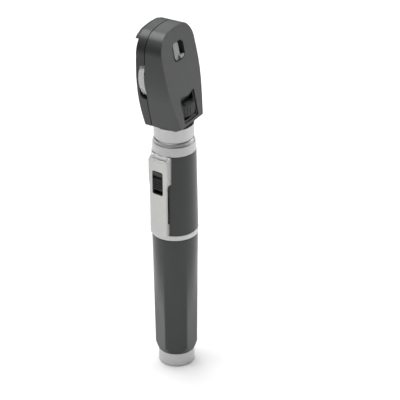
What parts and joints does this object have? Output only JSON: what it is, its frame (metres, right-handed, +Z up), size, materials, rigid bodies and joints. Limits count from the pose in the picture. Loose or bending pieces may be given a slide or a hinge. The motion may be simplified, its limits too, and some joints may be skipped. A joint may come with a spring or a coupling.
{
  "type": "ophthalmoscope",
  "caption": "Pocket ophthalmoscope: battery handle with clip and slide switch, pull-off head with a lens wheel, an aperture dial, a front window and a brow rest.",
  "frame": {"origin": "centre of the end cap's flat base, where the instrument stands", "axes": "+Z up along the handle to the head, -Y towards the patient (the head's sloping front), +Y towards the examiner, pocket clip on the -X side"},
  "size_m": [0.0306, 0.024, 0.1804],
  "materials": {
    "satin_silver": "fine satin, clear coated",
    "clip_silver": "satin silver",
    "grip_grey": "satin moulded",
    "shell_grey": "fine moulded grain",
    "black_plastic": "satin moulded",
    "white_plastic": "satin moulded",
    "rest_rubber": "soft matt",
    "steel": "plain",
    "inner_aluminium": "plain turned",
    "contact_brass": "plain",
    "cell_jacket": "printed jacket, plain",
    "clear_glass": "polished",
    "green_glass": "polished"
  },
  "bodies": {
    "lower_handle": {"end_cap": "satin_silver", "grip": "grip_grey", "battery_tube": "steel", "battery_spring": "steel", "lower_cell": "cell_jacket", "upper_cell": "cell_jacket"},
    "upper_handle": {"chassis_tube": "inner_aluminium", "trim_ring": "satin_silver", "upper_sleeve": "grip_grey", "clip_base": "clip_silver", "switch_base": "black_plastic", "switch_strips": "contact_brass", "collar": "satin_silver", "cell_contact": "contact_brass", "contact_insulator": "black_plastic", "contact_spring": "steel"},
    "clip_arm": {"clip_arm": "clip_silver"},
    "switch": {"switch_slider": "black_plastic", "switch_contact": "contact_brass"},
    "contact_pin": {"contact_pin": "contact_brass"},
    "head": {"neck": "satin_silver", "coupling_spring": "steel", "lamp_base": "contact_brass", "lamp_bulb": "clear_glass", "condenser_lens": "clear_glass", "front_shell": "shell_grey", "rear_shell": "shell_grey", "shell_screws": "steel", "front_window": "clear_glass", "rear_window": "clear_glass", "dioptre_window": "clear_glass", "brow_rest": "rest_rubber", "optics_barrel": "inner_aluminium", "objective_lens": "clear_glass", "prism": "clear_glass", "prism_holder": "black_plastic", "wheel_axle": "steel", "wheel_detent": "steel", "dial_axle": "steel", "dial_detent": "steel"},
    "lens_wheel": {"lens_wheel": "white_plastic", "dioptre_lenses": "clear_glass", "dioptre_scale": "white_plastic"},
    "aperture_dial": {"aperture_dial": "shell_grey", "aperture_disc": "steel", "red_free_filter": "green_glass"}
  },
  "joints": [
    {"name": "handle_unscrew", "type": "slide", "parent": "lower_handle", "child": "upper_handle", "axis": [0, 0, 1], "range_m": [0, 0.012]},
    {"name": "head_lift_off", "type": "slide", "parent": "upper_handle", "child": "head", "axis": [0, 0, 1], "range_m": [0, 0.014]},
    {"name": "switch_slide", "type": "slide", "parent": "upper_handle", "child": "switch", "axis": [0, 0, -1], "range_m": [0, 0.0024]},
    {"name": "clip_flex", "type": "hinge", "parent": "upper_handle", "child": "clip_arm", "pos_m": [-0.01231, 0.00151, 0.0955], "axis": [0.1219, 0.9925, 0], "range_deg": [0, 6], "stiffness_Nm_per_rad": 0.6},
    {"name": "contact_pin_press", "type": "slide", "parent": "upper_handle", "child": "contact_pin", "axis": [0, 0, -1], "range_m": [0, 0.0006], "stiffness_N_per_m": 300, "deforming": ["contact_spring"]},
    {"name": "lens_wheel_turn", "type": "hinge", "parent": "head", "child": "lens_wheel", "pos_m": [0, 0.00825, 0.1581], "axis": [0, 1, 0], "continuous": true},
    {"name": "aperture_dial_turn", "type": "hinge", "parent": "head", "child": "aperture_dial", "pos_m": [0, -0.0035, 0.14], "axis": [0, 0, 1], "continuous": true}
  ]
}
